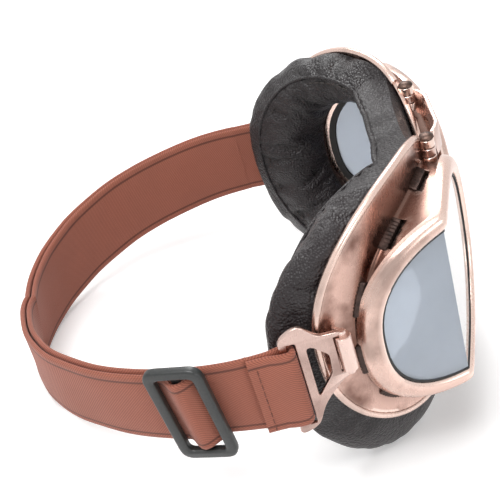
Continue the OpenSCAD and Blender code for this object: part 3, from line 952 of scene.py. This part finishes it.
def stitches(name, line, material, radius):
    """Row of short thread loops that dip into the surface at both ends."""
    made, walked = [], 0.0
    start = None
    for a, b in zip(line, line[1:]):
        walked += (b - a).length
        if start is None:
            start = a
        elif walked >= STITCH_L and (b - start).length > STITCH_L * 0.9:
            ends = [start.lerp(b, s) for s in (0, 0.25, 0.5, 0.75, 1)]
            made.append(tube_along("stitch", ends, radius, material, 6))
            start, walked = None, STITCH_L - STITCH_PITCH
        if walked < 0:
            start = None
    return join(name, made)


NOSE_TOP = 116
NOSE_FOOT = 222
NOSE_TURNS = 26
NOSE_COLS = 10
NOSE_ROWS = 5
NOSE_SAG = 3.0
NOSE_SINK = 0.5
WEB_EDGE = 0.8
SEAM_PROUD = 0.35
THREAD_R = 0.5
THREAD_BACK = 0.55
EDGE_AT = (-6, 10, -10)


def lattice_faces(sizes):
    """Corners and quads of the skin of a block of grid points."""
    index, order, faces = {}, [], []

    def corner(key):
        if key not in index:
            index[key] = len(order)
            order.append(key)
        return index[key]

    for axis in range(3):
        one, two = [k for k in range(3) if k != axis]
        for level in (0, sizes[axis]):
            for a in range(sizes[one]):
                for b in range(sizes[two]):
                    quad = []
                    for da, db in ((0, 0), (1, 0), (1, 1), (0, 1)):
                        key = [0, 0, 0]
                        key[axis], key[one], key[two] = level, a + da, b + db
                        quad.append(corner(tuple(key)))
                    faces.append(tuple(quad))
    return order, faces


def nose_point(side, k, c, r):
    """Point of the web: k down from the top, c out from the middle, r back from the front."""
    rows = fine_rows()[:SEAM_AT * ROW_SPLIT + 1]
    t = NOSE_TOP + (NOSE_FOOT - NOSE_TOP) * k / NOSE_TURNS
    p = cup(side, *cushion_pt(t, rows[round(r / NOSE_ROWS * (len(rows) - 1))]))
    s = c / NOSE_COLS
    hollow = 1 - s * s
    sag = NOSE_SAG * (1 - 0.6 * k / NOSE_TURNS) * hollow
    crease = 0.35 * math.sin(0.55 * k + 5 * s) * hollow
    p.x = (abs(p.x) + NOSE_SINK) * s * side
    p.z -= sag + crease
    p.y -= (0.6 * sag + crease) * r / NOSE_ROWS
    return p


def nose_seam(side, back):
    """Line of the seam over the web, from the middle to the cushion's own seam."""
    line = []
    for i in range(2 * NOSE_COLS + 1):
        s = i / (2 * NOSE_COLS)
        line.append(nose_point(side, 0, NOSE_COLS * s, min(NOSE_ROWS, NOSE_ROWS * (0.6 + 0.4 * s * s) + back)))
    return line


def make_nose(name, side):
    """Half of the web over the nose: a saddle between the outer sides of the two cushions."""
    order, faces = lattice_faces((NOSE_TURNS, NOSE_COLS, NOSE_ROWS))
    web = new_object(name + "_nose_web", [nose_point(side, *key) for key in order], faces, LEATHER, sharp=75)
    web = subdivide(bevel(web, WEB_EDGE, 50), 80)
    seam = tube_along(name + "_nose_seam", nose_seam(side, 0), WELT_R + SEAM_PROUD, LEATHER)
    stitched = tube_along(name + "_nose_stitching", nose_seam(side, THREAD_BACK), THREAD_R, THREAD)
    edge = cup(side, *EDGE_AT)
    middle = Vector((0, edge.y, edge.z))
    for piece, nodes in ((web, ("nose_leather",) if side > 0 else ()), (seam, ()), (stitched, ())):
        bend(piece, name + "_cup", "bridge", edge, middle, "leather", *nodes)


# Bridge plate and its pins
BRIDGE_COLS = 40
PIN_PROUD = 0.2
PIN_EDGE = 0.15
DOME_RINGS = 6
DOME_TURN = 84
DOME_H = 1.2


def make_bridge():
    half = BRIDGE_H / 2
    verts = []
    for i in range(BRIDGE_COLS + 1):
        x = HINGE_X * (2 * i / BRIDGE_COLS - 1)
        share = min(1, (HINGE_X - abs(x)) / (HINGE_X * 0.55))
        rise = HINGE_R - 0.05 + (BRIDGE_RISE - HINGE_R) * (0.5 - 0.5 * math.cos(math.pi * share))
        h = half if abs(x) < HINGE_X - 3.2 else KNUCKLE_H / 2 - KNUCKLE_GAP / 2
        for y, z in ((-rise, -h), (SHEET_T - rise, -h), (SHEET_T - rise, h), (-rise, h)):
            verts.append(stand(x, y, HINGE_V + z))
    strip = new_object("bridge_strip", verts, ring_faces(BRIDGE_COLS + 1, 4, False), PLATE_COPPER)
    bevel(strip, 0.25)
    parts, pins = [strip], []
    low, top = (KNUCKLE_H - KNUCKLE_GAP) / 2, half + PIN_PROUD
    for x in (-HINGE_X, HINGE_X):
        ends = [(x, 0, HINGE_V - low), (x, 0, HINGE_V + low)]
        parts.append(cylinder("barrel", stand, *ends, HINGE_R, PLATE_COPPER, PIN_EDGE))
        ends = [(x, 0, HINGE_V - top), (x, 0, HINGE_V + top)]
        pins += [cylinder("pin", stand, *ends, PIN_D / 2, DARK_METAL, PIN_EDGE), dome("head", x, HINGE_V + top)]
    hand_in(join("bridge_arch", parts), "bridge", "copper", "bridge_plate")
    hand_in(join("bridge_hinge_pins", pins), "bridge", "dark_pin", "bridge_pins")


def dome(name, x, z):
    """Domed pin head on the upright frame's z."""
    verts = []
    for k in range(DOME_RINGS):
        a = DOME_TURN * k / (DOME_RINGS - 1)
        for i in range(ROUND):
            b = math.tau * i / ROUND
            r = PIN_HEAD_R * cosd(a)
            verts.append(stand(x + r * math.cos(b), r * math.sin(b), z + DOME_H * sind(a)))
    return new_object(name, verts, ring_faces(DOME_RINGS, ROUND, False), DARK_METAL)


# Hook plates: eased sheet from smooth outlines, with the hinge bar
TURN_GAP = 0.2
SLOT_W = STRAP_T + 3 * TURN_GAP
BAR_S = SLOT_S + SLOT_W
BAR_MID = -6.7
BAR_HALF = STRAP_W / 2 + 1.2
TAIL_S = BAR_S + STRAP_BAR_W
NOTCH_H = TAB_H / 2 + 0.3
BAR_REACH = NOTCH_H + 1.2
BAR_TOP = BAR_MID + BAR_HALF
BAR_FOOT = BAR_MID - BAR_HALF
PLATE_OUTLINE = (
    (-0.2, BAR_REACH), (3, 7.3), (5.8, 7.3), (8, 9.4), (9.8, 11.8), (12.2, 11.6), (TAIL_S - 1, BAR_TOP + 2.6),
    (TAIL_S, BAR_TOP + 0.6), (TAIL_S, 0), (TAIL_S, BAR_FOOT), (TAIL_S + 0.9, BAR_FOOT - 1.6),
    (TAIL_S - 0.3, BAR_FOOT - 2.9), (11.5, -21.4), (8.9, -15.4), (5.6, -11.3), (1.6, -BAR_REACH - 0.6),
    (-0.2, -BAR_REACH))
NOTCH = ((-0.2, -NOTCH_H), (TAB_R + 0.2, -NOTCH_H), (TAB_R + 0.2, NOTCH_H), (-0.2, NOTCH_H))
PLATE_WINDOW = ((SLOT_S - 2.4, 4.4), (8.3, 4.6), (4.4, 0.9), (4.8, -5.3), (SLOT_S - 2.4, -12))


def round_corners(points, radius, steps=5):
    """Outline with each corner eased by a curve of at most the radius."""
    eased = []
    count = len(points)
    for i in range(count):
        a, b, c = (Vector(points[(i + k) % count]) for k in (-1, 0, 1))
        near = min(radius, (a - b).length * 0.48)
        far = min(radius, (c - b).length * 0.48)
        p, q = b + (a - b).normalized() * near, b + (c - b).normalized() * far
        for k in range(steps + 1):
            s = k / steps
            eased.append(p * (1 - s) ** 2 + b * 2 * s * (1 - s) + q * s ** 2)
    return eased


def sheet(name, outlines, thickness, edge, place, material, base=0.0):
    """Plate with holes and eased edges, its outlines in a local plane."""
    curve = bpy.data.curves.new(name, "CURVE")
    curve.dimensions = "2D"
    curve.fill_mode = "BOTH"
    curve.extrude = thickness / 2 - edge
    curve.bevel_depth = edge
    curve.bevel_resolution = 2
    curve.offset = -edge
    for outline in outlines:
        line = curve.splines.new("POLY")
        line.points.add(len(outline) - 1)
        for point, p in zip(line.points, outline):
            point.co = (p[0], p[1], 0, 1)
        line.use_cyclic_u = True
    holder = add_object(name + "_curve", curve)
    flat = evaluated_mesh(holder)
    verts = [place(v.co.x, v.co.y, v.co.z + base) for v in flat.vertices]
    faces = [tuple(f.vertices) for f in flat.polygons]
    bpy.data.objects.remove(holder)
    piece = new_object(name, verts, faces, material, sharp=30)
    edit_mesh(piece.data, weld, face_outwards)
    smooth(piece, 30)
    return piece


def make_hook_plate(name, side):
    at = partial(plate, side)
    slot = ((SLOT_S, BAR_FOOT), (BAR_S, BAR_FOOT), (BAR_S, BAR_TOP), (SLOT_S, BAR_TOP))
    outline = [*round_corners(PLATE_OUTLINE, 2.2)[3:-3], *NOTCH]
    outlines = (outline, round_corners(PLATE_WINDOW, 1.2), round_corners(slot, 0.5))
    body = sheet("plate", outlines, PLATE_T, 0.3, at, PLATE_COPPER)
    bar = cylinder("bar", at, (0, -BAR_REACH, 0), (0, BAR_REACH, 0), BAR_D / 2, PLATE_COPPER)
    hand_in(join(name + "_hook_sheet", [body, bar]), name + "_hook", "copper", name + "_hook_plate")


# Strap: ribbons of webbing along the same route as the solids
FOLD_END = TAIL_S + FOLD_L
TURN_S = BAR_S + 0.5
TURN_IN = PLATE_T / 2 + TURN_GAP
SEWN_S = TAIL_S + 3
SEWN_Z = STRAP_T / 2 + 0.05
ROUTE_START = plate(1, FOLD_END, BAR_MID, 0)
REAR_Z = STRAP_W / 2
FIRST_FALL = 0.23
LAST_FALL = ROUTE_START.z - REAR_Z - FIRST_FALL * LOOP_L
FAR_POWER = 2.2
NEAR_POWER = 1.8
PLY = STRAP_T / 2 + 0.2
UP = Vector((0, 0, 1))


def route(t):
    """Middle line of the strap, from the far fold at 0 to the near fold at 180."""
    k = FAR_POWER if t < 90 else NEAR_POWER
    x = ROUTE_START.x * math.copysign(abs(cosd(t)) ** (2 / k), cosd(t))
    y = max(0, sind(t)) ** (2 / k) * LOOP_L
    return Vector((x, ROUTE_START.y + y, ROUTE_START.z - FIRST_FALL * y - LAST_FALL * (y / LOOP_L) ** 2))


def tangent(t):
    return (route(min(t + 1.5, 180)) - route(max(t - 1.5, 0))).normalized()


def wide(t):
    g = tangent(t)
    level = (UP - g * g.z).normalized()
    flare = FLARE * abs(sind(2 * t)) ** 0.7
    return level * cosd(flare) + g.cross(level) * sind(flare)


def away(t):
    return tangent(t).cross(wide(t))


def near_turn(y):
    return 180 - math.degrees(math.asin((max(0, y) / LOOP_L) ** (NEAR_POWER / 2)))


def far_turn(y):
    return math.degrees(math.asin((max(0, y) / LOOP_L) ** (FAR_POWER / 2)))


def web_section():
    """Cross-section of the webbing as (across -0.5 to 0.5, out -0.5 to 0.5): soft edges, thin rims."""
    half = [(-0.5, 0.0), (-0.492, 0.3), (-0.47, 0.46), (-0.44, 0.5), (-0.415, 0.42), (-0.39, 0.48), (-0.2, 0.5)]
    top = half + [(0.0, 0.5)] + [(-x, y) for x, y in reversed(half)]
    return top + [(x, -y) for x, y in reversed(top[1:-1])]


def ribbon(name, stations):
    """Ribbon over stations of (middle, across, out), both directions of unit length."""
    section = web_section()
    verts, uvs, walked, last = [], [], 0.0, stations[0][0]
    for middle, across, out in stations:
        walked += (middle - last).length
        last = middle
        for x, z in section:
            verts.append(middle + across * (x * STRAP_W) + out * (z * STRAP_T))
            uvs.append((walked * MM, x + 0.5))
    return new_object(name, verts, ring_faces(len(stations), len(section), False), WEBBING, uvs, 60)


def station(t, off):
    """Place of the ribbon on the route, off from its middle line."""
    return route(t) + away(t) * off, wide(t), away(t)


def ripple(t):
    """Slight waves of a slack elastic strap, which fade before the slider."""
    fade = min(1.0, max(0.0, (near_turn(HOOK_END) - t) / 25))
    return 0.6 * fade * noise.noise(Vector((t * 0.07, 1.0, 0.0)))


def strap_piece(name, start, end, off, count):
    turns = [start + (end - start) * i / count for i in range(count + 1)]
    return ribbon(name, [station(t, off + ripple(t)) for t in turns])


HOOK_END = 26.0
SLIDE_END = 37.0
FLANK_END = 48.0
SEAM_GAP = 0.3
SEWN_GAP = 0.02
TUCK = 2
BULGE_L = SLIDER_W / 2 - SLIDER_BAR - 0.2
BULGE_RISE = 3.6
WEB_END = BULGE_L + TUCK
WEB_SHORT = 1.3


def make_strap():
    """Fronts ride on the hooks, save the near outer front; it, the flanks from hook to cup and the rears from
    cup to bridge keep their places.
    """
    layers = (("outer", PLY, SLIDER_AT + WEB_END + SEAM_GAP), ("inner", -PLY, SLIDER_AT + TUCK))
    for layer, off, near_start in layers:
        for name, side in SIDES.items():
            near, outer = side < 0, off > 0
            turn = near_turn if near else far_turn
            first, last = turn(near_start if near else SEWN_GAP), turn(SLIDE_END if near and outer else HOOK_END)
            flank_end = turn(FLANK_END)
            label = ("near_" if near else "far_") + layer
            hook, cup_body = name + "_hook", name + "_cup"
            front = strap_piece(label + "_front", first, last, off, 12)
            if near and outer:
                bend(front, "slider", hook, route(first), route(last), "webbing")
            else:
                hand_in(front, hook, "webbing", *(("strap_far",) if outer else ()))
            flank = strap_piece(label + "_flank", last, flank_end, off, 18)
            bend(flank, hook, cup_body, route(last), route(flank_end), "webbing")
            rear = strap_piece(label + "_rear", flank_end, 90, off, 40)
            nodes = () if near else ("strap_" + layer,)
            bend(rear, cup_body, "bridge", route(flank_end), route(90), "webbing", *nodes)
    front = strap_piece("near_strap_lead", near_turn(SLIDER_AT + TUCK - SEAM_GAP), near_turn(SEWN_GAP), -PLY, 16)
    hand_in(front, "right_hook", "webbing", "strap_front")


def make_fold(name, side):
    """Webbing turned round the strap bar, its two plies sewn together behind it."""
    r = TURN_IN + STRAP_T / 2
    path = [(FOLD_END, SEWN_Z), (FOLD_END - 3, SEWN_Z), (SEWN_S, SEWN_Z + 0.1), (SEWN_S - 1.4, SEWN_Z + 0.45)]
    path += [(TAIL_S, r - 0.05), (TURN_S + 0.6, r)]
    arc = [(TURN_S + r * cosd(a), r * sind(a)) for a in range(90, 271, 15)]
    path = path + arc + [(s, -z) for s, z in reversed(path)]
    stations = []
    for i, (s, z) in enumerate(path):
        before, after = path[max(0, i - 1)], path[min(len(path) - 1, i + 1)]
        run = Vector((after[0] - before[0], after[1] - before[1])).normalized()
        middle = plate(side, s, BAR_MID, z)
        across = (plate(side, s, BAR_MID + 1, z) - middle).normalized()
        out = (plate(side, s - run.y, BAR_MID, z + run.x) - middle).normalized()
        stations.append((middle, across, out))
    fold = ribbon(name + "_sewn_fold", stations)
    hand_in(fold, name + "_hook", "webbing", name + "_strap_fold")
    line = [plate(side, FOLD_END - 2.2, BAR_MID + STRAP_W * (i / 200 - 0.5) * 0.92, SEWN_Z + STRAP_T / 2)
            for i in range(201)]
    hand_in(stitches(name + "_fold_stitches", line, STRAP_THREAD, 0.18), name + "_hook", "webbing")


# Slider and the stretch of webbing over its middle bar
SLIDER_GAP = 1.25
SLIDER_H = STRAP_W + 2 * SLIDER_GAP + 2 * SLIDER_BAR
SLIDER_LOW = PLY + STRAP_T / 2 + 0.2
SLIDER_R = 4
SLIDER_IN_R = 1.5
MIDDLE_T = 1.3
BAR_SINK = 0.5


def make_slider():
    t = near_turn(SLIDER_AT)
    middle, ahead, across, out = route(t), tangent(t), wide(t), away(t)

    def at(x, y, z):
        return middle + ahead * x + across * y + out * z

    def outline(inset, radius, steps):
        w, h = SLIDER_W / 2 - inset, SLIDER_H / 2 - inset
        return round_corners(((-w, -h), (w, -h), (w, h), (-w, h)), radius, steps)

    outer, inner = outline(0, SLIDER_R, 8), outline(SLIDER_BAR, SLIDER_IN_R, 5)
    h = SLIDER_H / 2 - SLIDER_BAR + BAR_SINK
    ring = sheet("ring", (outer, inner), SLIDER_T, 0.75, at, PLASTIC, SLIDER_LOW + SLIDER_T / 2)
    bar = block("bar", at, (-MIDDLE_BAR / 2, -h, SLIDER_LOW), (MIDDLE_BAR / 2, h, SLIDER_LOW + MIDDLE_T),
                PLASTIC, 0.35)
    hand_in(join("tri_glide", [ring, bar]), "slider", "slider_plastic", "slider")
    stations = []
    for i in range(49):
        s = WEB_END - (2 * WEB_END - WEB_SHORT) * i / 48
        rise = PLY + (BULGE_RISE * (1 + math.cos(math.pi * s / BULGE_L)) / 2 if abs(s) < BULGE_L else 0)
        stations.append(station(near_turn(SLIDER_AT + s), rise))
    hand_in(ribbon("slider_web", stations), "slider", "webbing", "slider_webbing")


# Camera, floor and light
CAMERA_AT = Vector((-256.8, 0.94, 210.4))
CAMERA_AZIMUTH = 269.06
CAMERA_ELEVATION = 33.78
CAMERA_ROLL = -2.06
CAMERA_LENS = 71.9
LAMP_AIM = Vector((0, 0, 0.03))
FLOOR_HALF = 3.0
GLOW = 0.28
WHITE_FROM = 0.15
WHITE_AT = 0.5


def make_camera():
    a, e, r = CAMERA_AZIMUTH, CAMERA_ELEVATION, CAMERA_ROLL
    back = Vector((sind(a) * cosd(e), -cosd(a) * cosd(e), sind(e)))
    right = Vector((cosd(a), sind(a), 0))
    up = back.cross(right)
    x = right * cosd(r) + up * sind(r)
    y = up * cosd(r) - right * sind(r)
    data = bpy.data.cameras.new("camera")
    data.sensor_width = 36
    data.sensor_fit = "HORIZONTAL"
    data.lens = CAMERA_LENS
    data.clip_start = 0.01
    camera = add_object("camera", data)
    turn = Matrix((x, y, back)).transposed().to_4x4()
    camera.matrix_world = Matrix.Translation(CAMERA_AT * MM) @ turn
    bpy.context.scene.camera = camera


def make_lamp(name, at, size, power):
    """Square lamp aimed at the middle of the goggles."""
    data = bpy.data.lights.new(name, "AREA")
    data.shape = "RECTANGLE"
    data.size = data.size_y = size
    data.energy = power
    lamp = add_object(name, data)
    lamp.location = at
    lamp.rotation_euler = (LAMP_AIM - Vector(at)).to_track_quat("-Z", "Y").to_euler()


def seen_rays(n):
    """1 for rays from the camera, off a glossy surface or through glass, 0 for the rest."""
    path = n.add("LightPath").outputs
    value = path["Is Camera Ray"]
    for other in ("Is Glossy Ray", "Is Transmission Ray"):
        value = n.math("MAXIMUM", value, path[other])
    return value


def make_stage():
    """Floor that takes the shadow, and turns into the white background away from the goggles."""
    h = FLOOR_HALF
    mesh = bpy.data.meshes.new("floor")
    mesh.from_pydata([(-h, -h, 0), (h, -h, 0), (h, h, 0), (-h, h, 0)], [], [(0, 1, 2, 3)])
    floor = add_object("floor", mesh)
    n = Nodes("floor")
    grain = n.noise(30, 2, 0.5)
    n.set(Base_Color=n.ramp(grain, [(0.3, (0.95, 0.95, 0.95)), (0.7, (0.97, 0.97, 0.97))]), Roughness=0.9)
    plain = n.shader.outputs[0]
    glow, white = (n.add("Emission", Strength=strength).outputs[0] for strength in (GLOW, 1.0))
    reach = n.add("VectorMath", operation="LENGTH")
    n.link(n.space, reach.inputs[0])
    far = n.span(reach.outputs["Value"], WHITE_FROM, WHITE_AT)
    shown = n.combine("MixShader", far, n.combine("AddShader", plain, glow), white)
    surface = n.combine("MixShader", seen_rays(n), plain, shown)
    n.link(surface, n.tree.nodes["Material Output"].inputs["Surface"])
    mesh.materials.append(n.owner)


def make_world():
    """White where it is seen; as light, pale with darker patches above."""
    n = Nodes("studio", world=True)
    split = n.add("SeparateXYZ")
    n.link(n.space, split.inputs["Vector"])
    pale = n.ramp(split.outputs["Z"], [(0.05, (0.9, 0.9, 0.9)), (0.35, (0.28, 0.27, 0.27))])
    clouds = n.span(n.noise(2.6, 1.0, 0.5), 0.42, 0.56, 0.12, 1.3)
    patchy = n.mix(1.0, pale, clouds, "MULTIPLY")
    n.set(Color=n.mix(seen_rays(n), patchy, (1.0, 1.0, 1.0)), Strength=1.0)
    bpy.context.scene.world = n.owner


def dress_cad_nodes():
    """Panes and gaskets keep their CAD solids and get their finish here."""
    finishes = {"front_pane": FRONT_GLASS, "side_pane": SIDE_GLASS, "gasket": RUBBER}
    for name in SIDES:
        for part, material in finishes.items():
            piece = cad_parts[f"{name}_{part}"]
            piece.data.materials.clear()
            piece.data.materials.append(material)


make_camera()
make_stage()
make_world()
make_lamp("key", (-0.3, 0.35, 1.0), 0.6, 9)
make_lamp("fill", (-0.9, -0.6, 0.5), 0.5, 2.5)
make_lamp("back", (0.8, 0.1, 0.8), 0.5, 6.5)
dress_cad_nodes()
for side_name, side_sign in SIDES.items():
    for make in (make_frame, make_rim, make_binding, make_vent_mesh, make_cushion, make_nose,
                 make_hook_plate, make_fold):
        make(side_name, side_sign)
make_bridge()
make_strap()
make_slider()

bpy.context.scene.view_settings.view_transform = "Standard"
